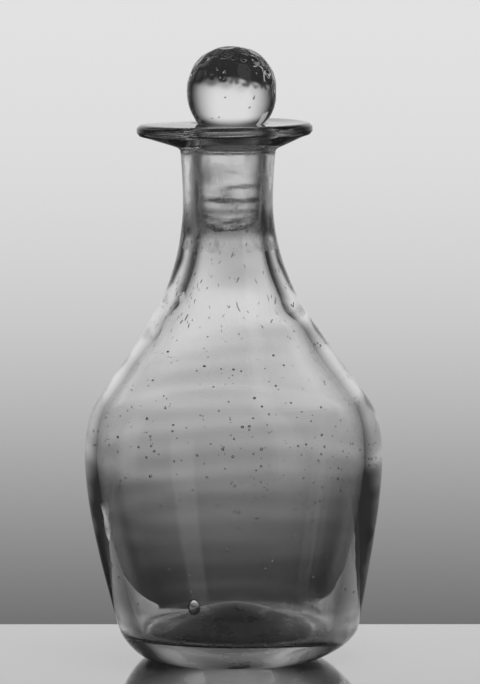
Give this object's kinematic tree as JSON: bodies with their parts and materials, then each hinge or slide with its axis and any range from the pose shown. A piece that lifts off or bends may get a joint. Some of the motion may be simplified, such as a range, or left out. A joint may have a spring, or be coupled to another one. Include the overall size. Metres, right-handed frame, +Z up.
{
  "type": "glass decanter",
  "caption": "Small free-blown glass decanter with a flanged neck, sloping shoulder and a lift-out ball stopper, for serving wine or spirits.",
  "frame": {"origin": "middle of the bottom of the bounding box, on the table under the middle of the belly", "axes": "+Z up along the neck; -Y is the side that the picture shows, and +X is its right"},
  "size_m": [0.0962, 0.0962, 0.1982],
  "materials": {
    "vessel_glass": "clear grey blown glass, fire polished, with seeds and cords",
    "stopper_glass": "clear blown glass, shallow hollow facets above, plug dulled by grinding marks"
  },
  "bodies": {
    "vessel": {"vessel": "vessel_glass"},
    "stopper": {"stopper": "stopper_glass"}
  },
  "joints": [
    {"name": "stopper_lift", "type": "slide", "parent": "vessel", "child": "stopper", "axis": [0, 0, 1], "range_m": [0, 0.06]}
  ]
}
